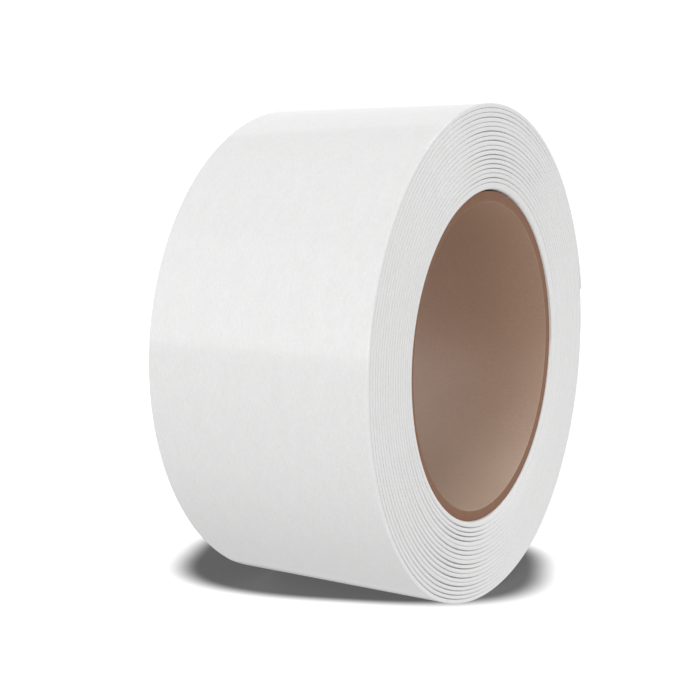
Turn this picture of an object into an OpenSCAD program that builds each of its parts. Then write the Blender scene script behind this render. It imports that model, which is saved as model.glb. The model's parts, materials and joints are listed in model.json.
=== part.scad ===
// Roll of white polyester reinforcing tape: one long strip of nonwoven fleece wound on a
// laminated paperboard core. The roll stands on its rim with its axis along Y, its free end
// at the back (+X), and its origin on the ground under the axis, midway across the tape.

/* [Core] */
// Bore of the core, the standard three-inch size
core_bore_d = 76.2; // [50:0.1:110]
// Thickness of one paperboard ply
ply_t = 0.8; // [0.4:0.05:1.5]
// Glue line between two plies
glue_line = 0.05; // [0.02:0.01:0.2]
// How far the core's ends stand back from the edges of the tape
core_recess = 1.5; // [0.2:0.1:3]
// Bevel on the mouths of the bore
mouth_bevel = 0.4; // [0.1:0.05:0.7]

/* [Tape] */
// Width of the tape
tape_w = 58; // [20:0.5:100]
// Thickness of the tape
tape_t = 0.7; // [0.6:0.01:1.2]
// Air between one wrap and the next
wrap_gap = 0.43; // [0.41:0.01:1]
// Number of wraps
wraps = 18; // [4:1:24]
// Clearance between the core and the first wrap
seat_gap = 0.1; // [0.05:0.01:0.3]
// Depth of the flat that the roll's weight presses where it stands
flat_depth = 0.5; // [0.2:0.05:0.55]

/* [Free end] */
// Length of the loose end, which lifts off the roll
end_len = 26; // [10:1:40]
// Angle of its cut edge above the level of the roll's axis
end_angle = 12; // [12:1:50]
// Slit between the loose end and the wrap that it continues
end_slit = 0.3; // [0.2:0.05:0.5]

/* [Hidden] */
$fn = 180;

kraft = [0.60, 0.46, 0.38];
kraft_dark = [0.52, 0.39, 0.32];
fleece = [0.95, 0.95, 0.94];

// Core: three plies, one glue line apart
bore_r = core_bore_d / 2;
ply_step = ply_t + glue_line;
core_r = bore_r + 2 * ply_step + ply_t;
core_len = tape_w - 2 * core_recess;

// Winding: the strip's half turns lie on two centres, half a pitch apart. Those below the
// axis are centred on it, and those above it are half a pitch larger and half a pitch further
// back, so each half turn runs smoothly into the next and a full turn climbs one pitch.
pitch = tape_t + wrap_gap;
climb = pitch / 2;
first_r = core_r + seat_gap;
low_r = first_r + (wraps - 1) * pitch + tape_t;
high_r = low_r + climb;
axis_z = low_r - flat_depth;

// Free end: an arc of the outermost half turn, on the surface of which it hinges
end_root_angle = end_angle + end_len / high_r * 180 / PI;
end_slit_angle = end_slit / high_r * 180 / PI;
hinge_x = climb + high_r * cos(end_root_angle);
hinge_z = axis_z + high_r * sin(end_root_angle);
echo(hinge_x = hinge_x, hinge_z = hinge_z, axis_z = axis_z, core_len = core_len);

// Length of the strip, along the middle of its thickness
wound_len = PI * (2 * wraps * (first_r + tape_t / 2) + wraps * (wraps - 0.5) * pitch)
    - (end_angle * PI / 180) * high_r;
echo(wound_len = wound_len);

// Least air between the wraps, measured from points on the outer face of each wrap to points
// on the inner face of the next
measure_step = 5;
function strip_point(wrap, swept, depth) =
    let (
        above = swept % 360 >= 180,
        r = first_r + (wrap + (above ? 0.5 : 0)) * pitch + depth
    )
    [(above ? climb : 0) + r * cos(-swept), r * sin(-swept)];
least_gap = min([
    for (wrap = [0 : wraps - 2], swept = [0 : measure_step : 359], nearby = [-1 : 0.25 : 1])
        norm(strip_point(wrap, swept, tape_t) - strip_point(wrap + 1, swept + nearby, 0))
]);
echo(least_gap = least_gap);

// Lays what is turned about Z on the roll's own axis
module on_axis() {
    translate([0, 0, axis_z])
        rotate([90, 0, 0])
            children();
}

// One ply of the core, counted from the bore
module ply(index) {
    on_axis()
        rotate_extrude()
            translate([bore_r + index * ply_step, -core_len / 2])
                square([ply_t, core_len]);
}

// A stretch of the strip whose inner face has radius r, wound clockwise from one angle to another
module strip_arc(r, from, to) {
    on_axis()
        rotate_extrude(angle = to - from, start = from)
            translate([r, -tape_w / 2])
                square([tape_t, tape_w]);
}

// Innermost ply, bevelled at both mouths of the bore
module core_inner_ply() {
    color(kraft)
        on_axis()
            rotate_extrude()
                polygon([
                    [bore_r, -core_len / 2 + mouth_bevel],
                    [bore_r + mouth_bevel, -core_len / 2],
                    [bore_r + ply_t, -core_len / 2],
                    [bore_r + ply_t, core_len / 2],
                    [bore_r + mouth_bevel, core_len / 2],
                    [bore_r, core_len / 2 - mouth_bevel]
                ]);
}

module core_middle_ply() {
    color(kraft_dark)
        ply(1);
}

module core_outer_ply() {
    color(kraft)
        ply(2);
}

// The strip from its start on the core to the root of its free end, flattened on the ground
module tape_winding() {
    color(fleece)
        difference() {
            union() {
                for (wrap = [0 : wraps - 1]) {
                    strip_arc(first_r + wrap * pitch, 0, -180);
                    translate([climb, 0, 0])
                        strip_arc(
                            first_r + wrap * pitch + climb,
                            180,
                            wrap == wraps - 1 ? end_root_angle : 0
                        );
                }
            }
            translate([-low_r, -tape_w, -2 * flat_depth])
                cube([2 * low_r, 2 * tape_w, 2 * flat_depth]);
        }
}

// The last stretch of the strip, lying loose on the wrap under it
module tape_end() {
    color(fleece)
        translate([climb, 0, 0])
            strip_arc(high_r - tape_t, end_root_angle - end_slit_angle, end_angle);
}

core_inner_ply();
core_middle_ply();
core_outer_ply();
tape_winding();
tape_end();
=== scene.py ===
"""A roll of white reinforcing tape: one strip of fleece wound on a core of three paperboard plies.

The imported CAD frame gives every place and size. Geometry Nodes wind the strip and its free end along
the same spiral as the CAD, mesh code turns the plies, and the stage is a white studio floor.
"""

import json
import math

import bpy
from bpy.props import FloatProperty, FloatVectorProperty, IntProperty, PointerProperty
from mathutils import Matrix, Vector, noise


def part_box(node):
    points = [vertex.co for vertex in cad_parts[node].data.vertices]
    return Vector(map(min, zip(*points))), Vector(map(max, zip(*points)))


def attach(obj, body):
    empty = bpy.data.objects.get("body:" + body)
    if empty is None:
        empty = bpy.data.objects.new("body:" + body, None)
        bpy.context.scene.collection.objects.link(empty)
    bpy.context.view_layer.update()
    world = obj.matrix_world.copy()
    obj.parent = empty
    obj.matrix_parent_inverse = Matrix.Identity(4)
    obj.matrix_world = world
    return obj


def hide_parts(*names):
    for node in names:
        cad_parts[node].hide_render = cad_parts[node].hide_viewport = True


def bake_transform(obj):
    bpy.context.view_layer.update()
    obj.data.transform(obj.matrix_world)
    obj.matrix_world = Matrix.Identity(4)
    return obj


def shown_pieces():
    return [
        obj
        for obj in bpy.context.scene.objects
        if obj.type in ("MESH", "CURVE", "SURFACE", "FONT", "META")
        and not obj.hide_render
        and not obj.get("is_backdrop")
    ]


bl_info = {
    "name": "Reinforcing Tape Roll",
    "version": (1, 0, 0),
    "blender": (4, 5, 0),
    "location": "3D View > Sidebar > Tape Roll",
    "description": "Winds a roll of fleece tape on a paperboard core and sets up a white studio stage",
    "category": "Object",
}

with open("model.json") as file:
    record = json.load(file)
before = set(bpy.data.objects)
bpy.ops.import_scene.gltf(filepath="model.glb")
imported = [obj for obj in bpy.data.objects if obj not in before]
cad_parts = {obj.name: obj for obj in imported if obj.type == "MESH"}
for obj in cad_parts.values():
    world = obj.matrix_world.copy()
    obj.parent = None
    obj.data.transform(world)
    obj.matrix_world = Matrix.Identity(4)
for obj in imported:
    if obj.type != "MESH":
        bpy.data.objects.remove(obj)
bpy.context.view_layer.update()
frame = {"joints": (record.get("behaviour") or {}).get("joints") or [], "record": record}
IMAGE_SIDE = 700
MM = 0.001
QUARTER = math.pi / 2

# Where the CAD puts the roll: the axis runs along Y, and the strip winds clockwise as seen from -Y, in
# half turns on two centres, so the half turns above the axis stand one climb further out.
bore = next(mount for mount in frame["record"]["mounts"] if mount["name"] == "core_bore")
hinge = next(joint for joint in frame["joints"] if joint["name"] == "tape_end_lift")
winding_low, winding_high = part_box("tape_winding")
end_low, end_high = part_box("tape_end")
BORE_RADIUS = bore["dims"]["r_mm"] * MM
AXIS_HEIGHT = bore["pos_m"][2]
CORE_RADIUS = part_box("core_outer_ply")[1].x
OUTER_RADIUS = -winding_low.x
CLIMB = winding_high.z - AXIS_HEIGHT - OUTER_RADIUS
PITCH = 2 * CLIMB
TAPE_WIDTH = winding_high.y - winding_low.y
HINGE = Vector(hinge["pos_m"])
ROOT_ANGLE = math.atan2(HINGE.z - AXIS_HEIGHT, HINGE.x - CLIMB)
TIP_ANGLE = math.acos((end_high.x - CLIMB) / (OUTER_RADIUS + CLIMB))

# Steps on each rounded corner of the strip and the plies, and the flat margin beside the strip's corners
ROUND_STEPS = 4
SUPPORT = 0.5 * MM
SHARP_ANGLE = math.radians(50)

# The strip's thin start on the core: its thickness, the share of a turn in which it thickens, the
# clearance over the core, and the share of a turn in which the unevenness sets in
START_THICKNESS = 0.05 * MM
FEATHER = 0.04
CORE_CLEARANCE = 0.02 * MM
SETTLING = 0.3

# How many irregularities a turn has, and what the seed is raised by for each kind
SWELL_RATE = 2.7
SWELL_SEED = 20.0
GROOVE_RATE = 1.9
GROOVE_SEED = 40.0
WANDER_RATE = 2.3

# Directions round the axis in degrees, from +X towards +Z: the middle, how far to each side something has
# its full strength, and how far it takes to fade
CORE_HANGS_AT = (88, 12, 48)
PRESSED_AT = (270, 0, 30)
DRAWN_IN_AT = (0, 75, 100)
LOOSE_ABOVE_AT = (80, 10, 30)
LOOSE_BELOW_AT = (232, 14, 38)
FRONT_AT = (180, 60, 110)
SHOULDER_AT = (62, 15, 45)
NARROW_AT = (90, 10, 30)

# Grooves between the wraps, as shares of the groove depth: below the core, all round, at the front, at the
# shoulder and on the rim, then the mean, swing and contrast of the loose ones, and how much narrower the
# ones at the top are
BELOW_SHARE = 0.75
CLOSED_SHARE = 0.04
FRONT_SHARE = 0.2
SHOULDER_SHARE = 0.2
RIM_SHARE = 0.2
LOOSE_MEAN = 0.62
LOOSE_SWING = 2.6
LOOSE_CONTRAST = 1.5
NARROWER = 0.7

# The dish: how soon it fades outwards, its share all round, and what is added at one side
DISH_REACH = 3.0 * MM
DISH_SHARE = 0.4
DISH_ADDED = 0.6

# Depth of the outer wraps that the floor presses, and the arc back from the free end's root to a bend point
# that lay_free_end works out but does not use
PRESSED_DEPTH = 7 * MM
BEND_ARC = math.radians(11)

# Core: the gap between two plies, how far the unevenness of a sawn end reaches in, and its fineness
PLY_GAP = 0.005 * MM
SAWN_REACH = 1.0 * MM
SAWN_FINENESS = 900.0

# Sizes of the patterns in millimetres, and turns in degrees
FLEECE_CLOUDS = (2.5, 6.0, 2.5)
FLEECE_FIBRES = (0.3, 1.5, 0.3)
FIBRE_TURNS = (-14, 3, 22)
FLEECE_GRAIN = (0.2, 0.35, 0.2)
KRAFT_FLECKS = (0.35, 1.6, 0.35)
FLECK_TURN = -30
KRAFT_GRAIN = (0.16, 0.16, 0.16)
KRAFT_CLOUDS = (9.0, 9.0, 9.0)
BOARD_GRAIN = (0.14, 0.14, 0.14)
BOARD_CLOUDS = (2.5, 2.5, 2.5)
FLOOR_CLOUDS = (40.0, 40.0, 40.0)
SEAM_HALF_WIDTH = 0.25 * MM
SEAM_SHADE = 0.3

# The surroundings in bands that add up: the elevations where a band starts and ends, whether it fades
# towards its end, its brightness, how much brighter it is in one direction, and that direction's azimuth
BANDS = (
    (-90, -30, False, 0.667, 0.286, 31),
    (-30, 2.5, False, 0.556, 0.412, 3),
    (2.5, 41.5, False, 0.645, 0.043, -60),
    (2.5, 65, True, 0.485, 0.485, -150),
    (41.5, 90, False, 0.588, 0.424, -4),
)
BAND_EDGE = 1.0
BACKDROP = 1.1

# Soft lights on the tape or on the core: name, azimuth and elevation in degrees, strength
TAPE_LIGHTS = (
    ("left_key", -90, 10, 0.771),
    ("upper_right_fill", 60, 60, 0.773),
)
CORE_LIGHTS = (
    ("core_side", -90, 0, 0.458),
    ("core_top", 0, 85, 1.267),
    ("core_rear", 180, 35, 0.4),
)
LIGHT_SPREAD = math.radians(30)

# The floor's reach, the height of its light, and the soft dark patch in the light's beam that makes the
# shadow: middle, half sizes, turn from +X, squareness, and the width of its edge as a share of its size,
# at its middle, added towards its ends, and how far beyond them
FLOOR_REACH = 20.0
FLOOR_LIGHT_HEIGHT = 100.0
PATCH_MIDDLE = (6.54 * MM, 11.54 * MM)
PATCH_REACH = (49.47 * MM, 33.44 * MM)
PATCH_TURN = math.radians(-68.8)
PATCH_SQUARE = 2.81
PATCH_EDGE = 0.093
PATCH_EDGE_ADDED = 0.024
PATCH_EDGE_LIMIT = 1.5

SENSOR_WIDTH = 36.0
NEAREST = 0.01

STRIP_INPUTS = (
    ("Material", "NodeSocketMaterial"),
    ("Outer radius", "NodeSocketFloat"),
    ("Core radius", "NodeSocketFloat"),
    ("Pitch", "NodeSocketFloat"),
    ("Wraps", "NodeSocketInt"),
    ("Width", "NodeSocketFloat"),
    ("Thickness", "NodeSocketFloat"),
    ("Edge rounding", "NodeSocketFloat"),
    ("Groove depth", "NodeSocketFloat"),
    ("Unevenness", "NodeSocketFloat"),
    ("Side wander", "NodeSocketFloat"),
    ("Dish", "NodeSocketFloat"),
    ("Core slack", "NodeSocketFloat"),
    ("Tip lift", "NodeSocketFloat"),
    ("Axis height", "NodeSocketFloat"),
    ("From turn", "NodeSocketFloat"),
    ("To turn", "NodeSocketFloat"),
    ("Steps", "NodeSocketInt"),
    ("Length before", "NodeSocketFloat"),
    ("Seed", "NodeSocketInt"),
)


class TapeSettings(bpy.types.PropertyGroup):
    """Sizes and colour of the wound strip and its free end"""

    wraps: IntProperty(
        name="Wraps", description="Turns of tape on the core", default=18, min=2, max=60)
    wrap_gap: FloatProperty(
        name="Wrap gap", description="Air between one wrap and the next",
        default=0.03 * MM, unit="LENGTH", precision=5)
    edge_round: FloatProperty(
        name="Edge rounding", description="How far the strip's cut edges are rounded into its faces",
        default=0.34 * MM, unit="LENGTH", precision=5)
    groove_depth: FloatProperty(
        name="Groove depth", description="Depth of the deepest grooves between the wraps",
        default=1.15 * MM, unit="LENGTH", precision=5)
    unevenness: FloatProperty(
        name="Unevenness", description="How much the spacing of the wraps varies",
        default=0.13 * MM, unit="LENGTH", precision=5)
    side_wander: FloatProperty(
        name="Side wander", description="How far the strip wanders sideways from wrap to wrap",
        default=0.04 * MM, unit="LENGTH", precision=5)
    dish: FloatProperty(
        name="Dish", description="How far the first wraps draw in at both faces, at most",
        default=1.4 * MM, unit="LENGTH", precision=5)
    core_slack: FloatProperty(
        name="Core slack", description="Gap over the top of the core, which hangs in the roll",
        default=0.3 * MM, unit="LENGTH", precision=5)
    fullness: FloatProperty(
        name="Fullness", description="How far the soft wraps swell past the radius of the solid",
        default=0.3 * MM, unit="LENGTH", precision=5)
    tip_lift: FloatProperty(
        name="Tip lift", description="How far the free end stands off the roll at its cut",
        default=0.25 * MM, unit="LENGTH", precision=5)
    steps_per_turn: IntProperty(
        name="Steps per turn", description="Sections along each turn", default=168, min=24, max=400)
    seed: IntProperty(
        name="Seed", description="Seed of the small irregularities", default=7)
    colour: FloatVectorProperty(
        name="Fleece", description="Colour of the fleece", subtype="COLOR",
        default=(0.80, 0.80, 0.797), min=0, max=1)


class CoreSettings(bpy.types.PropertyGroup):
    """Sizes and colours of the paperboard core"""

    mouth_round: FloatProperty(
        name="Mouth rounding", description="Radius at the mouth of the bore",
        default=0.2 * MM, unit="LENGTH", precision=5)
    cut_round: FloatProperty(
        name="Cut rounding", description="Radius at the other cut edges of the plies",
        default=0.02 * MM, unit="LENGTH", precision=5)
    roughness: FloatProperty(
        name="Cut roughness", description="Unevenness of the sawn ends",
        default=0.04 * MM, unit="LENGTH", precision=5)
    segments: IntProperty(
        name="Segments", description="Steps round each ply", default=240, min=48, max=720)
    seam_lead: FloatProperty(
        name="Seam lead", description="Length of core in which the liner's spiral seam goes once round",
        default=140 * MM, unit="LENGTH")
    liner_colour: FloatVectorProperty(
        name="Liner", description="Colour of the smooth kraft liner", subtype="COLOR",
        default=(0.42, 0.262, 0.18), min=0, max=1)
    # Painted sheen: a greyer, paler liner colour towards the bottom of the bore stands in for a white
    # glossy reflection there.
    painted_sheen_colour: FloatVectorProperty(
        name="Liner painted sheen", description="Colour of the liner at the bottom of the bore, greyed by a painted sheen",
        subtype="COLOR", default=(0.385, 0.274, 0.202), min=0, max=1)
    board_colour: FloatVectorProperty(
        name="Board", description="Colour of the cut paperboard", subtype="COLOR",
        default=(0.27, 0.144, 0.092), min=0, max=1)


class StageSettings(bpy.types.PropertyGroup):
    """Camera, floor and lights"""

    azimuth: FloatProperty(
        name="Azimuth", description="Direction of the camera round the roll",
        default=math.radians(-58.9506), subtype="ANGLE")
    elevation: FloatProperty(
        name="Elevation", description="Height of the camera above the horizon",
        default=math.radians(7.6025), subtype="ANGLE")
    distance: FloatProperty(
        name="Distance", description="From the middle of the roll to the camera",
        default=322.62 * MM, unit="LENGTH")
    sideways: FloatProperty(
        name="Sideways", description="Camera moved to the right of the middle of the roll",
        default=-10.16 * MM, unit="LENGTH")
    upwards: FloatProperty(
        name="Upwards", description="Camera moved above the middle of the roll",
        default=-0.23 * MM, unit="LENGTH")
    focal_pixels: FloatProperty(
        name="Focal length in pixels", description="Focal length as a number of the image's pixels",
        default=1250.2)
    sky: FloatProperty(
        name="Surroundings", description="Share of the light from the white surroundings",
        default=1.0, min=0)
    soft_light: FloatProperty(
        name="Soft light", description="Share of the soft lights round the roll", default=1.0, min=0)
    floor_light: FloatProperty(
        name="Floor light", description="Strength of the overhead light on the floor", default=15.7)
    floor_colour: FloatVectorProperty(
        name="Floor", description="Colour of the floor", subtype="COLOR",
        default=(0.21, 0.21, 0.21), min=0, max=1)


class Formula:
    """A value in a node tree that takes arithmetic, so that a rule reads as a formula."""

    def __init__(self, socket):
        self.socket = socket

    def math(self, operation, *others):
        node = self.socket.id_data.nodes.new("ShaderNodeMath")
        node.operation = operation
        for place, value in zip(node.inputs, (self, *others)):
            plug(place, value)
        return Formula(node.outputs[0])

    def __add__(self, other):
        return self.math("ADD", other)

    __radd__ = __add__

    def __sub__(self, other):
        return self.math("SUBTRACT", other)

    def __rsub__(self, other):
        return (self * -1.0) + other

    def __mul__(self, other):
        return self.math("MULTIPLY", other)

    __rmul__ = __mul__

    def __truediv__(self, other):
        return self.math("DIVIDE", other)

    def between(self, low, high):
        return self.math("MAXIMUM", low).math("MINIMUM", high)


def plug(place, value):
    """Links a socket or a formula into an input, or sets the input to a plain value."""
    source = getattr(value, "socket", value)
    if isinstance(source, bpy.types.NodeSocket):
        place.id_data.links.new(source, place)
    else:
        place.default_value = value


def add(tree, kind, inputs=None, **settings):
    """Adds a node with these settings and inputs, and returns it."""
    node = tree.nodes.new(kind)
    for name, value in settings.items():
        setattr(node, name, value)
    for name, value in (inputs or {}).items():
        plug(node.inputs[name], value)
    return node


def vector(tree, x=0.0, y=0.0, z=0.0):
    """Three formulas or numbers as one vector."""
    return add(tree, "ShaderNodeCombineXYZ", {"X": x, "Y": y, "Z": z}).outputs[0]


def parts(tree, whole):
    """The three parts of a vector as formulas."""
    node = add(tree, "ShaderNodeSeparateXYZ", {0: whole})
    return [Formula(output) for output in node.outputs]


def keep_field(tree, geometry, name, value, kind="FLOAT"):
    """Stores a field on the points of a geometry under a name."""
    node = add(tree, "GeometryNodeStoreNamedAttribute",
               {"Geometry": geometry, "Name": name, "Value": value},
               data_type=kind, domain="POINT")
    return node.outputs["Geometry"]


def kept_field(tree, name):
    """A field that was stored on the points under a name."""
    node = add(tree, "GeometryNodeInputNamedAttribute", {"Name": name}, data_type="FLOAT")
    return Formula(node.outputs["Attribute"])


def ripple(tree, position, seed):
    """A smooth irregular value between about -1 and 1 along a line."""
    node = add(tree, "ShaderNodeTexNoise", {"W": position + seed, "Scale": 1.0, "Detail": 2.0},
               noise_dimensions="1D")
    return (Formula(node.outputs[0]) - 0.5) * 2.0


def bump_at(angle, centre, full, faded):
    """1 within some degrees of a direction round the axis, falling to 0 at a wider angle."""
    near = (angle - math.radians(centre)).math("COSINE")
    low, high = math.cos(math.radians(faded)), math.cos(math.radians(full))
    return ((near - low) / (high - low)).between(0.0, 1.0)


def section_curve(tree, given):
    """The strip's cross-section: X from its outer to its inner face, Y across, with four rounded edges.

    Each corner has ROUND_STEPS + 1 points on its rounding and one more on the wide face, which keeps
    the wide faces flat when they are shaded smooth.
    """
    points = ROUND_STEPS + 2
    circle = add(tree, "GeometryNodeCurvePrimitiveCircle", {"Resolution": 4 * points}, mode="RADIUS")
    index = Formula(add(tree, "GeometryNodeInputIndex").outputs[0])
    corner = (index / points).math("FLOOR")
    odd = corner.math("MODULO", 2.0)
    step = index - corner * points - (1.0 - odd)
    on_arc = step.between(0.0, ROUND_STEPS)
    angle = (corner + on_arc / ROUND_STEPS) * QUARTER
    middle = (corner + 0.5) * QUARTER
    inward = (step - on_arc).math("ABSOLUTE") * SUPPORT
    radius = given["Edge rounding"]
    depth_side = middle.math("COSINE").math("SIGN")
    across_side = middle.math("SINE").math("SIGN")
    depth = depth_side * (given["Thickness"] * 0.5 - radius) + angle.math("COSINE") * radius
    across = across_side * (given["Width"] * 0.5 - radius - inward) + angle.math("SINE") * radius
    placed = add(tree, "GeometryNodeSetPosition", {
        "Geometry": circle.outputs["Curve"], "Position": vector(tree, depth, across)})
    kept = keep_field(tree, placed.outputs[0], "depth", depth)
    return keep_field(tree, kept, "across", across)


def spiral_curve(tree, given):
    """The middle line of the strip, in the XY plane with the axis at the origin."""
    line = add(tree, "GeometryNodeCurvePrimitiveLine", mode="POINTS")
    resampled = add(tree, "GeometryNodeResampleCurve",
                    {"Curve": line.outputs[0], "Count": given["Steps"] + 1.0}, mode="COUNT")
    share = Formula(add(tree, "GeometryNodeSplineParameter").outputs["Factor"])
    turn = given["From turn"] + share * (given["To turn"] - given["From turn"])
    wrap = turn.math("FLOOR")
    above = (turn - wrap).math("GREATER_THAN", 0.5)
    half_turns = wrap + above * 0.5 - given["Wraps"] + 1.0
    outer = given["Outer radius"] + half_turns * given["Pitch"]
    centre = above * given["Pitch"] * 0.5
    angle = turn * -math.tau
    cosine, sine = angle.math("COSINE"), angle.math("SINE")
    face_x, face_y = centre + cosine * outer, sine * outer
    to_core = (face_x * face_x + face_y * face_y).math("SQRT") - given["Core radius"]
    middle = outer - given["Thickness"] * 0.5
    kept = keep_field(tree, resampled.outputs[0], "turn", turn)
    kept = keep_field(tree, kept, "to_core", to_core)
    placed = add(tree, "GeometryNodeSetPosition", {
        "Geometry": kept, "Position": vector(tree, centre + cosine * middle, sine * middle)})
    length = Formula(add(tree, "GeometryNodeSplineParameter").outputs["Length"])
    kept = keep_field(tree, placed.outputs[0], "along", length + given["Length before"])
    upright = add(tree, "GeometryNodeSetCurveNormal", {"Curve": kept}, mode="Z_UP")
    return upright.outputs[0]


def radial_shift(tree, given):
    """How far each point of the strip moves outwards from the even spiral.

    The spacing of the wraps varies, and each wrap follows the one under it. The strip starts thin on the
    core and the first wrap fills the space down to it. A free end stands off the roll towards its tip.
    """
    turn, to_core = kept_field(tree, "turn"), kept_field(tree, "to_core")
    inner = kept_field(tree, "depth") / given["Thickness"] + 0.5

    def swelling(at):
        to_end = given["Wraps"] - (1.0 + SETTLING) - at
        settled = (at / SETTLING).between(0.0, 1.0) * (to_end / SETTLING).between(0.0, 1.0)
        uneven = ripple(tree, at * SWELL_RATE, given["Seed"] + SWELL_SEED)
        return uneven * given["Unevenness"] * settled

    first = turn.math("LESS_THAN", 1.0)
    thin = 1.0 - (turn / FEATHER).between(0.0, 1.0)
    over_start = 1.0 - ((turn - 1.0) / FEATHER).between(0.0, 1.0)
    sunk = thin * (to_core - START_THICKNESS)
    slack = bump_at(turn * -math.tau, *CORE_HANGS_AT) * given["Core slack"]
    down_to_core = to_core - given["Thickness"] - CORE_CLEARANCE - slack
    down_to_start = over_start * (to_core - given["Pitch"] - START_THICKNESS)
    filled = first * down_to_core + (1.0 - first) * down_to_start
    from_root = (turn - given["From turn"]) / (given["To turn"] - given["From turn"])
    lifted = from_root * from_root * given["Tip lift"]
    outer_shift = (1.0 - inner) * (swelling(turn) - sunk)
    inner_shift = inner * (swelling(turn - 1.0) - filled)
    return outer_shift + inner_shift + lifted


def groove_share(tree, given, angle):
    """The depth of the groove at each edge of the strip, as a share of the deepest.

    The grooves are deep where the wraps lie loose above and below the core, more in some than in
    others, and close up at the sides. The inner edge of a wrap shares the groove of the wrap under it.
    """
    inner_side = kept_field(tree, "depth").math("GREATER_THAN", 0.0)
    under = kept_field(tree, "turn") - inner_side
    loose = bump_at(angle, *LOOSE_ABOVE_AT).math("MAXIMUM", bump_at(angle, *LOOSE_BELOW_AT) * BELOW_SHARE)
    closed = (CLOSED_SHARE + bump_at(angle, *FRONT_AT) * FRONT_SHARE
              + bump_at(angle, *SHOULDER_AT) * SHOULDER_SHARE)
    uneven = ripple(tree, under * GROOVE_RATE, given["Seed"] + GROOVE_SEED)
    strength = (LOOSE_MEAN + uneven * LOOSE_SWING).between(0.0, 1.0).math("POWER", LOOSE_CONTRAST)
    groove = closed + loose * strength
    rim = under.math("GREATER_THAN", given["Wraps"] - 1.0)
    return (groove + rim * (RIM_SHARE - groove)).between(0.0, 1.0)


def axial_place(tree, given, height):
    """Where each point of the strip lies along the roll's axis.

    The rounded edges make the grooves between the wraps. The first wraps, pulled tight on the core, draw
    in, most at one side.
    """
    turn, depth = kept_field(tree, "turn"), kept_field(tree, "depth")
    angle = turn * -math.tau
    half = given["Width"] * 0.5
    rounded = ((half - height.math("ABSOLUTE")) / given["Edge rounding"]).math("MAXIMUM", 0.0)
    narrowed = rounded.math("POWER", 1.0 + bump_at(angle, *NARROW_AT) * NARROWER)
    grooved = narrowed * groove_share(tree, given, angle) * given["Groove depth"]
    to_core = kept_field(tree, "to_core") - depth - given["Thickness"] * 0.5
    near_core = (to_core.math("MAXIMUM", 0.0) / -DISH_REACH).math("EXPONENT")
    drawn_in = near_core * (DISH_SHARE + bump_at(angle, *DRAWN_IN_AT) * DISH_ADDED) * given["Dish"]
    wander = ripple(tree, turn * WANDER_RATE, given["Seed"]) * given["Side wander"]
    return height.math("SIGN") * (half - grooved - drawn_in) + wander


def wound_strip_tree():
    """Node tree that sweeps the section along the spiral, makes it a little uneven and stands it up."""
    tree = bpy.data.node_groups.new("Wound strip", "GeometryNodeTree")
    tree.interface.new_socket("Geometry", in_out="OUTPUT", socket_type="NodeSocketGeometry")
    for name, kind in STRIP_INPUTS:
        tree.interface.new_socket(name, in_out="INPUT", socket_type=kind)
    start = tree.nodes.new("NodeGroupInput")
    given = {name: Formula(start.outputs[name]) for name, _ in STRIP_INPUTS}

    swept = add(tree, "GeometryNodeCurveToMesh", {
        "Curve": spiral_curve(tree, given), "Profile Curve": section_curve(tree, given),
        "Fill Caps": True})
    angle = kept_field(tree, "turn") * -math.tau
    outward = radial_shift(tree, given)
    height = parts(tree, add(tree, "GeometryNodeInputPosition").outputs[0])[2]
    offset = vector(tree, angle.math("COSINE") * outward, angle.math("SINE") * outward,
                    axial_place(tree, given, height) - height)
    uneven = add(tree, "GeometryNodeSetPosition", {"Geometry": swept.outputs[0], "Offset": offset})

    # Where the roll rests on the floor, its outer wraps are pressed upwards.
    across_floor, from_axis, _ = parts(tree, add(tree, "GeometryNodeInputPosition").outputs[0])
    radius = (across_floor * across_floor + from_axis * from_axis).math("SQRT")
    outermost = (1.0 - (given["Outer radius"] - radius) / PRESSED_DEPTH).between(0.0, 1.0)
    most = given["Outer radius"] - given["Axis height"]
    raised = most * outermost * bump_at(angle, *PRESSED_AT)
    pressed = add(tree, "GeometryNodeSetPosition", {
        "Geometry": uneven.outputs[0], "Offset": vector(tree, 0.0, raised)})

    strip_place = vector(tree, *(kept_field(tree, name) for name in ("across", "along", "depth")))
    result = keep_field(tree, pressed.outputs[0], "strip_place", strip_place, "FLOAT_VECTOR")
    for name in ("turn", "to_core", "depth", "across", "along"):
        result = add(tree, "GeometryNodeRemoveAttribute", {"Geometry": result, "Name": name}).outputs[0]
    upright = add(tree, "GeometryNodeTransform", {
        "Geometry": result, "Translation": vector(tree, 0.0, 0.0, given["Axis height"]),
        "Rotation": (QUARTER, 0.0, 0.0)})
    smooth = add(tree, "GeometryNodeSetShadeSmooth", {"Geometry": upright.outputs[0]})
    real = add(tree, "GeometryNodeRealizeInstances", {"Geometry": smooth.outputs[0]})
    painted = add(tree, "GeometryNodeSetMaterial", {
        "Geometry": real.outputs[0], "Material": given["Material"]})
    end = tree.nodes.new("NodeGroupOutput")
    plug(end.inputs["Geometry"], painted.outputs[0])
    return tree


def wound_length(turns, tape):
    """Length of the strip's middle line from its start on the core to a number of turns."""
    half_turns = int(turns * 2)
    outer = OUTER_RADIUS + tape.fullness
    first = outer - (tape.wraps - 1) * PITCH - (PITCH - tape.wrap_gap) / 2
    whole = sum(math.pi * (first + count * CLIMB) for count in range(half_turns))
    return whole + math.tau * (turns - half_turns / 2) * (first + half_turns * CLIMB)


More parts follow.
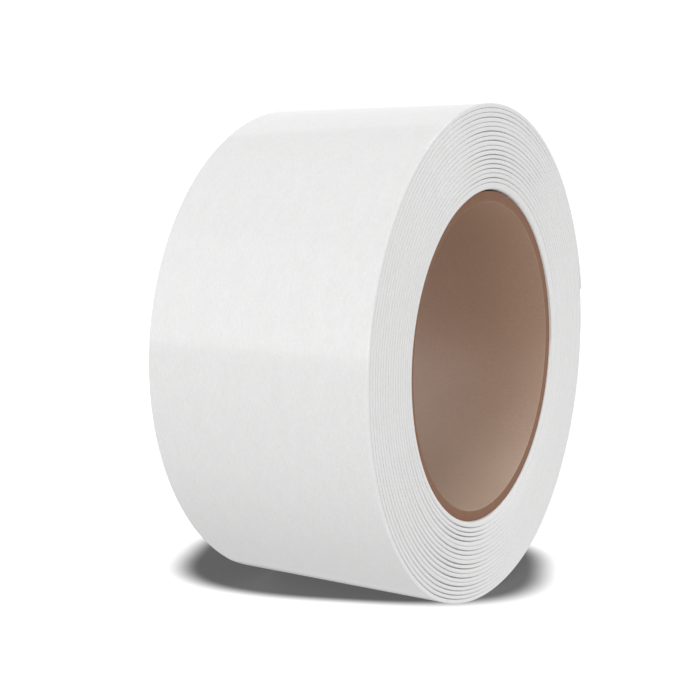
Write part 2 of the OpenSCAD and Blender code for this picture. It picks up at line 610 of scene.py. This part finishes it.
def wind_strip(name, from_turn, to_turn, tip_lift):
    """One stretch of the strip as a plain mesh object, from one number of turns to another."""
    tape = bpy.context.scene.tape_roll_tape
    tree = bpy.data.node_groups.get("Wound strip") or wound_strip_tree()
    strip = bpy.data.objects.new(name, bpy.data.meshes.new(name))
    bpy.context.scene.collection.objects.link(strip)
    values = {
        "Material": fleece_material(),
        "Outer radius": OUTER_RADIUS + tape.fullness,
        "Core radius": CORE_RADIUS,
        "Pitch": PITCH,
        "Wraps": tape.wraps,
        "Width": TAPE_WIDTH - 2 * tape.side_wander,
        "Thickness": PITCH - tape.wrap_gap,
        "Edge rounding": tape.edge_round,
        "Groove depth": tape.groove_depth,
        "Unevenness": tape.unevenness,
        "Side wander": tape.side_wander,
        "Dish": tape.dish,
        "Core slack": tape.core_slack,
        "Tip lift": tip_lift,
        "Axis height": AXIS_HEIGHT,
        "From turn": from_turn,
        "To turn": to_turn,
        "Steps": round((to_turn - from_turn) * tape.steps_per_turn),
        "Length before": wound_length(from_turn, tape),
        "Seed": tape.seed,
    }
    winder = strip.modifiers.new("Wound strip", "NODES")
    winder.node_group = tree
    for item in tree.interface.items_tree:
        if item.in_out == "INPUT":
            winder[item.identifier] = values[item.name]
    graph = bpy.context.evaluated_depsgraph_get()
    wound = bpy.data.meshes.new_from_object(
        strip.evaluated_get(graph), preserve_all_data_layers=True, depsgraph=graph)
    if not wound.polygons:
        raise RuntimeError(f"the strip for {name} came out empty")
    strip.modifiers.clear()
    strip.data = wound
    wound.name = name
    wound.set_sharp_from_angle(angle=SHARP_ANGLE)
    return strip


def new_material(name, finish):
    """A material with an empty tree, and its shader with the values that hold all over."""
    material = bpy.data.materials.new(name)
    material.use_nodes = True
    tree = material.node_tree
    tree.nodes.clear()
    shader = add(tree, "ShaderNodeBsdfPrincipled", finish)
    output = tree.nodes.new("ShaderNodeOutputMaterial")
    plug(output.inputs["Surface"], shader.outputs[0])
    return material, tree, shader


def stretched_noise(tree, place, stretch, turn=0, detail=3.0):
    """Noise whose features measure stretch millimetres, turned by degrees in the plane of the surface."""
    turned = add(tree, "ShaderNodeMapping", {
        "Vector": place, "Rotation": (0.0, 0.0, math.radians(turn))}, vector_type="POINT")
    scaled = add(tree, "ShaderNodeMapping", {
        "Vector": turned.outputs[0], "Scale": tuple(1.0 / (size * MM) for size in stretch)},
        vector_type="POINT")
    node = add(tree, "ShaderNodeTexNoise", {
        "Vector": scaled.outputs[0], "Scale": 1.0, "Detail": detail, "Roughness": 0.55})
    return Formula(node.outputs[0])


def varied(*patterns):
    """1, more or less by each pattern's share of it."""
    total = 1.0
    for pattern, share in patterns:
        total = total + (pattern - 0.5) * share
    return total


def shaded(tree, colour, share):
    """A colour made lighter or darker by a share that varies over the surface."""
    return add(tree, "ShaderNodeVectorMath", {0: colour, "Scale": share}, operation="SCALE").outputs[0]


def dress(tree, shader, colour, roughness, relief, strength, depth):
    """Gives a shader its colour, its roughness and a fine relief of some depth."""
    bump = add(tree, "ShaderNodeBump", {"Height": relief, "Strength": strength, "Distance": depth})
    plug(shader.inputs["Base Color"], colour)
    plug(shader.inputs["Roughness"], roughness)
    plug(shader.inputs["Normal"], bump.outputs[0])


def fleece_material():
    """White polyester fleece: pressed fibres that run mostly along the strip, in soft clouds."""
    found = bpy.data.materials.get("white_fleece")
    if found:
        return found
    material, tree, shader = new_material("white_fleece", {
        "Specular IOR Level": 0.5, "Sheen Weight": 0.12, "Sheen Roughness": 0.5})
    place = add(tree, "ShaderNodeAttribute", attribute_name="strip_place").outputs["Vector"]
    clouds = stretched_noise(tree, place, FLEECE_CLOUDS)
    layers = [stretched_noise(tree, place, FLEECE_FIBRES, turn, detail=1.0) for turn in FIBRE_TURNS]
    fibre = sum(layers) / len(layers)
    grain = stretched_noise(tree, place, FLEECE_GRAIN, detail=1.0)
    share = varied((clouds, 0.06), (fibre, 0.2), (grain, 0.13))
    colour = shaded(tree, bpy.context.scene.tape_roll_tape.colour[:], share)
    dress(tree, shader, colour, 0.1 + fibre * 0.06, relief=fibre, strength=0.03, depth=0.03 * MM)
    return material


def liner_material():
    """Smooth brown kraft: fine fibre flecks along the spiral, the butt seam of the spiral liner, and a
    painted sheen that greys it towards the bottom of the bore.
    """
    core = bpy.context.scene.tape_roll_core
    material, tree, shader = new_material("kraft_liner", {
        "Specular IOR Level": 1.0, "Coat Weight": 0.6, "Coat Roughness": 0.42})
    place = add(tree, "ShaderNodeTexCoord").outputs["Object"]
    unrolled = add(tree, "ShaderNodeAttribute", attribute_name="core_place").outputs["Vector"]
    fleck = stretched_noise(tree, unrolled, KRAFT_FLECKS, FLECK_TURN)
    grain = stretched_noise(tree, place, KRAFT_GRAIN, detail=1.0)
    clouds = stretched_noise(tree, place, KRAFT_CLOUDS)

    round_bore, along_bore, _ = parts(tree, unrolled)
    turns = round_bore / (math.tau * BORE_RADIUS) - along_bore / core.seam_lead
    from_seam = (turns.math("FRACT") - 0.5).math("ABSOLUTE") * core.seam_lead
    seam = (1.0 - from_seam / SEAM_HALF_WIDTH).between(0.0, 1.0)

    # Painted sheen: the colour turns greyer and paler from the axis down to the bottom of the bore,
    # standing in for a white glossy reflection.
    height = parts(tree, place)[2]
    painted_sheen_share = ((AXIS_HEIGHT - height) / BORE_RADIUS).between(0.0, 1.0)
    added = Vector(core.painted_sheen_colour) - Vector(core.liner_colour)
    painted_sheen_liner = add(tree, "ShaderNodeVectorMath", {0: added, 1: painted_sheen_share, 2: core.liner_colour[:]},
                operation="MULTIPLY_ADD")
    share = varied((fleck, 0.32), (grain, 0.6), (clouds, 0.1)) - seam * SEAM_SHADE
    colour = shaded(tree, painted_sheen_liner.outputs[0], share)
    relief = fleck * 0.5 + grain * 0.5 - seam
    dress(tree, shader, colour, 0.5 + fleck * 0.16, relief, strength=0.4, depth=0.06 * MM)
    return material


def board_material():
    """Sawn paperboard: darker brown, with the fine fibres of the cut."""
    material, tree, shader = new_material("sawn_board", {"Specular IOR Level": 0.3})
    place = add(tree, "ShaderNodeTexCoord").outputs["Object"]
    grain = stretched_noise(tree, place, BOARD_GRAIN, detail=2.0)
    clouds = stretched_noise(tree, place, BOARD_CLOUDS)
    share = varied((grain, 0.3), (clouds, 0.18))
    colour = shaded(tree, bpy.context.scene.tape_roll_core.board_colour[:], share)
    dress(tree, shader, colour, 0.8 + grain * 0.15, relief=grain, strength=0.5, depth=0.06 * MM)
    return material


def ply_profile(inner, outer, half_length, inner_round, outer_round):
    """Outline of a ply's wall as (radius, place along the axis), anticlockwise from the inner wall."""
    corners = (
        (inner + inner_round, -half_length + inner_round, inner_round),
        (outer - outer_round, -half_length + outer_round, outer_round),
        (outer - outer_round, half_length - outer_round, outer_round),
        (inner + inner_round, half_length - inner_round, inner_round),
    )
    outline = []
    for number, (radius, along, rounding) in enumerate(corners):
        for step in range(ROUND_STEPS + 1):
            angle = (number + 2 + step / ROUND_STEPS) * QUARTER
            outline.append((radius + rounding * math.cos(angle), along + rounding * math.sin(angle)))
    return outline


def turn_ply(name, inner, outer, half_length, inner_round, materials):
    """A closed ring of paperboard about the axis, with slightly uneven sawn ends."""
    core = bpy.context.scene.tape_roll_core
    outline = ply_profile(inner, outer, half_length, inner_round, core.cut_round)
    count = len(outline)
    half_rounding = ROUND_STEPS // 2
    points, unrolled, faces, slots = [], [], [], []
    for segment in range(core.segments):
        angle = math.tau * segment / core.segments
        side = Vector((math.cos(angle), 0.0, math.sin(angle)))
        for radius, along in outline:
            near_end = max(0.0, 1.0 - (half_length - abs(along)) / SAWN_REACH)
            rough = noise.noise((side * radius + Vector((0.0, along, 0.0))) * SAWN_FINENESS)
            shift = (0.5 + 0.5 * rough) * core.roughness * near_end * math.copysign(1.0, along)
            points.append(side * radius + Vector((0.0, along - shift, AXIS_HEIGHT)))
            unrolled += (angle * inner, along - shift, 0.0)
    for segment in range(core.segments):
        here, there = segment * count, (segment + 1) % core.segments * count
        for place in range(count):
            following = (place + 1) % count
            faces.append((here + place, here + following, there + following, there + place))
            at_bore = place < half_rounding or place >= count - 1 - half_rounding
            slots.append(0 if at_bore else 1)
    mesh = bpy.data.meshes.new(name)
    mesh.from_pydata(points, [], faces)
    for material in materials:
        mesh.materials.append(material)
    mesh.polygons.foreach_set("material_index", slots)
    mesh.polygons.foreach_set("use_smooth", [True] * len(faces))
    mesh.attributes.new("core_place", "FLOAT_VECTOR", "POINT").data.foreach_set("vector", unrolled)
    mesh.update()
    ply = bpy.data.objects.new(name, mesh)
    bpy.context.scene.collection.objects.link(ply)
    return ply


class TAPE_ROLL_OT_build_core(bpy.types.Operator):
    """Turn the three plies of the paperboard core"""

    bl_idname = "tape_roll.build_core"
    bl_label = "Build Core"

    def execute(self, context):
        core = context.scene.tape_roll_core
        liner, board = liner_material(), board_material()
        inner = BORE_RADIUS
        for node in ("core_inner_ply", "core_middle_ply", "core_outer_ply"):
            low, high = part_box(node)
            is_liner = node == "core_inner_ply"
            ply = turn_ply(node.replace("core", "board"), inner, high.x, (high.y - low.y) / 2,
                           core.mouth_round if is_liner else core.cut_round,
                           (liner if is_liner else board, board))
            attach(ply, "roll")
            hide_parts(node)
            inner = high.x + PLY_GAP
        return {"FINISHED"}


class TAPE_ROLL_OT_wind_tape(bpy.types.Operator):
    """Wind the strip on the core, up to the root of its free end"""

    bl_idname = "tape_roll.wind_tape"
    bl_label = "Wind Tape"

    def execute(self, context):
        tape = context.scene.tape_roll_tape
        root_turn = tape.wraps - ROOT_ANGLE / math.tau
        winding = wind_strip("fleece_winding", 0.0, root_turn, 0.0)
        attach(winding, "roll")
        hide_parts("tape_winding")
        length = wound_length(root_turn, tape)
        return {"FINISHED"}


class TAPE_ROLL_OT_lay_free_end(bpy.types.Operator):
    """Lay the free end of the strip over the outermost wrap"""

    bl_idname = "tape_roll.lay_free_end"
    bl_label = "Lay Free End"

    def execute(self, context):
        tape = context.scene.tape_roll_tape
        root_turn = tape.wraps - ROOT_ANGLE / math.tau
        tip_turn = tape.wraps - TIP_ANGLE / math.tau
        end = wind_strip("fleece_end", root_turn, tip_turn, tape.tip_lift)
        bend_angle = ROOT_ANGLE - BEND_ARC
        reach = OUTER_RADIUS + CLIMB
        bend_end = (CLIMB + reach * math.cos(bend_angle), 0.0,
                    AXIS_HEIGHT + reach * math.sin(bend_angle))
        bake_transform(end)
        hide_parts("tape_end")
        length = (ROOT_ANGLE - TIP_ANGLE) * reach
        return {"FINISHED"}


def aim(thing, position, target):
    """Puts an object somewhere and turns its -Z towards a target."""
    thing.location = position
    thing.rotation_euler = (Vector(target) - Vector(position)).to_track_quat("-Z", "Y").to_euler()


def direction(azimuth, elevation):
    """Unit vector towards a place round the roll, at azimuth 0 in front of the -Y face."""
    level = math.cos(elevation)
    return Vector((math.sin(azimuth) * level, -math.cos(azimuth) * level, math.sin(elevation)))


def linked(name, objects):
    """A collection of objects that lights are linked to."""
    group = bpy.data.collections.new(name)
    for thing in objects:
        group.objects.link(thing)
    return group


def make_light(name, kind, energy, receivers, blockers):
    """A light that shines on some objects only, and is stopped by some only."""
    data = bpy.data.lights.new(name, kind)
    data.energy = energy
    light = bpy.data.objects.new(name, data)
    bpy.context.scene.collection.objects.link(light)
    light.light_linking.receiver_collection = receivers
    light.light_linking.blocker_collection = blockers
    return light


def make_sun(name, azimuth, elevation, strength, receivers, blockers):
    """A soft distant light."""
    sun = make_light(name, "SUN", strength, receivers, blockers)
    sun.data.angle = LIGHT_SPREAD
    aim(sun, direction(math.radians(azimuth), math.radians(elevation)), (0.0, 0.0, 0.0))


def hang_floor_light(strength, floor):
    """A light far above the floor whose beam leaves a soft rounded patch dark, as the roll's shadow."""
    energy = strength * 4.0 * math.pi * FLOOR_LIGHT_HEIGHT ** 2
    light = make_light("floor_light", "POINT", energy, floor, floor)
    light.location = (0.0, 0.0, FLOOR_LIGHT_HEIGHT)
    light.data.shadow_soft_size = 0.0
    light.data.use_nodes = True
    tree = light.data.node_tree
    tree.nodes.clear()
    beam_x, beam_y, beam_z = parts(tree, add(tree, "ShaderNodeTexCoord").outputs["Normal"])
    x = beam_x / beam_z * -FLOOR_LIGHT_HEIGHT - PATCH_MIDDLE[0]
    y = beam_y / beam_z * -FLOOR_LIGHT_HEIGHT - PATCH_MIDDLE[1]
    cosine, sine = math.cos(PATCH_TURN), math.sin(PATCH_TURN)
    along = (x * cosine + y * sine) / PATCH_REACH[0]
    across = (y * cosine - x * sine) / PATCH_REACH[1]
    powers = [share.math("ABSOLUTE").math("POWER", PATCH_SQUARE) for share in (along, across)]
    outwards = sum(powers).math("POWER", 1.0 / PATCH_SQUARE)
    edge = PATCH_EDGE + (along * along).math("MINIMUM", PATCH_EDGE_LIMIT) * PATCH_EDGE_ADDED
    inside = ((1.0 + edge - outwards) / (edge * 2.0)).between(0.0, 1.0)
    dark = inside * inside * (3.0 - inside * 2.0)
    emission = add(tree, "ShaderNodeEmission", {"Strength": 1.0 - dark})
    output = tree.nodes.new("ShaderNodeOutputLight")
    plug(output.inputs["Surface"], emission.outputs[0])


def risen(z, elevation):
    """0 below an elevation and 1 above it, with a soft edge between."""
    if abs(elevation) == 90:
        return float(elevation < 0)
    low, high = (math.sin(math.radians(elevation + step)) for step in (-BAND_EDGE, BAND_EDGE))
    return ((z - low) / (high - low)).between(0.0, 1.0)


def white_surroundings(share):
    """Soft light from white surroundings in bands, and a plain white backdrop behind them."""
    world = bpy.data.worlds.new("white_surroundings")
    bpy.context.scene.world = world
    world.use_nodes = True
    tree = world.node_tree
    tree.nodes.clear()
    x, y, z = parts(tree, add(tree, "ShaderNodeTexCoord").outputs["Generated"])
    level = (x * x + y * y).math("SQRT").math("MAXIMUM", 0.001)
    strength = 0.0
    for start, end, fades, brightness, swing, azimuth in BANDS:
        towards = direction(math.radians(azimuth), 0.0)
        band = brightness + (x * towards.x + y * towards.y) / level * swing
        if fades:
            bottom, top = math.sin(math.radians(start)), math.sin(math.radians(end))
            shape = risen(z, start) * ((top - z) / (top - bottom)).between(0.0, 1.0)
        else:
            shape = risen(z, start) - risen(z, end)
        strength = strength + band * shape
    light = add(tree, "ShaderNodeBackground", {"Color": (1, 1, 1, 1), "Strength": strength * share})
    backdrop = add(tree, "ShaderNodeBackground", {"Color": (1, 1, 1, 1), "Strength": BACKDROP})
    mixed = add(tree, "ShaderNodeMixShader", {
        0: add(tree, "ShaderNodeLightPath").outputs["Is Camera Ray"],
        1: light.outputs[0], 2: backdrop.outputs[0]})
    output = tree.nodes.new("ShaderNodeOutputWorld")
    plug(output.inputs["Surface"], mixed.outputs[0])


def lay_floor(colour):
    """A wide pale floor, marked as stage."""
    mesh = bpy.data.meshes.new("studio_floor")
    corners = [(x * FLOOR_REACH, y * FLOOR_REACH, 0.0) for x, y in ((-1, -1), (1, -1), (1, 1), (-1, 1))]
    mesh.from_pydata(corners, [], [(0, 1, 2, 3)])
    floor = bpy.data.objects.new("studio_floor", mesh)
    bpy.context.scene.collection.objects.link(floor)
    floor.visible_diffuse = False
    floor.visible_glossy = False
    floor.visible_shadow = False
    material, tree, shader = new_material("studio_white", {"Roughness": 0.9, "Specular IOR Level": 0.0})
    place = add(tree, "ShaderNodeTexCoord").outputs["Object"]
    share = varied((stretched_noise(tree, place, FLOOR_CLOUDS), 0.02))
    plug(shader.inputs["Base Color"], shaded(tree, colour[:], share))
    mesh.materials.append(material)
    floor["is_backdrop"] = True
    return floor


def place_camera(scene, stage):
    """The camera at the viewing angle, level, with the roll a little off its middle."""
    camera = bpy.data.objects.new("camera", bpy.data.cameras.new("camera"))
    scene.collection.objects.link(camera)
    back = direction(stage.azimuth, stage.elevation)
    right = Vector((0.0, 0.0, 1.0)).cross(back).normalized()
    up = back.cross(right)
    middle = Vector((0.0, 0.0, AXIS_HEIGHT))
    position = middle + back * stage.distance + right * stage.sideways + up * stage.upwards
    aim(camera, position, position - back)
    camera.data.sensor_width = SENSOR_WIDTH
    camera.data.lens = stage.focal_pixels * SENSOR_WIDTH / IMAGE_SIDE
    camera.data.clip_start = NEAREST
    scene.camera = camera


class TAPE_ROLL_OT_set_stage(bpy.types.Operator):
    """Set up the floor, the soft lights and the camera"""

    bl_idname = "tape_roll.set_stage"
    bl_label = "Set Stage"

    def execute(self, context):
        scene = context.scene
        stage = scene.tape_roll_stage
        floor = linked("lit_floor", [lay_floor(stage.floor_colour)])
        white_surroundings(stage.sky)
        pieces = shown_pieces()
        roll = linked("roll_shadow", pieces)
        core = linked("lit_core", [piece for piece in pieces if piece.name.startswith("board")])
        tape = linked("lit_tape", [piece for piece in pieces if piece.name.startswith("fleece")])
        for lights, receivers in ((TAPE_LIGHTS, tape), (CORE_LIGHTS, core)):
            for name, azimuth, elevation, strength in lights:
                make_sun(name, azimuth, elevation, strength * stage.soft_light, receivers, roll)
        hang_floor_light(stage.floor_light, floor)
        place_camera(scene, stage)
        scene.view_settings.view_transform = "Standard"
        return {"FINISHED"}


STEPS = (
    ("tape_roll.build_core", "tape_roll_core"),
    ("tape_roll.wind_tape", "tape_roll_tape"),
    ("tape_roll.lay_free_end", "tape_roll_tape"),
    ("tape_roll.set_stage", "tape_roll_stage"),
)


class TAPE_ROLL_PT_panel(bpy.types.Panel):
    """Steps and settings of the tape roll"""

    bl_idname = "TAPE_ROLL_PT_panel"
    bl_label = "Tape Roll"
    bl_space_type = "VIEW_3D"
    bl_region_type = "UI"
    bl_category = "Tape Roll"

    def draw(self, context):
        for operator, group in STEPS:
            box = self.layout.box()
            box.operator(operator)
            settings = getattr(context.scene, group)
            for name in settings.__annotations__:
                box.prop(settings, name)


GROUPS = {
    "tape_roll_tape": TapeSettings,
    "tape_roll_core": CoreSettings,
    "tape_roll_stage": StageSettings,
}
CLASSES = (
    TapeSettings,
    CoreSettings,
    StageSettings,
    TAPE_ROLL_OT_build_core,
    TAPE_ROLL_OT_wind_tape,
    TAPE_ROLL_OT_lay_free_end,
    TAPE_ROLL_OT_set_stage,
    TAPE_ROLL_PT_panel,
)


def register():
    for kind in CLASSES:
        bpy.utils.register_class(kind)
    for name, group in GROUPS.items():
        setattr(bpy.types.Scene, name, PointerProperty(type=group))


def unregister():
    for name in GROUPS:
        delattr(bpy.types.Scene, name)
    for kind in reversed(CLASSES):
        bpy.utils.unregister_class(kind)


def main():
    register()
    bpy.ops.tape_roll.build_core()
    bpy.ops.tape_roll.wind_tape()
    bpy.ops.tape_roll.lay_free_end()
    bpy.ops.tape_roll.set_stage()


if __name__ == "__main__":
    main()
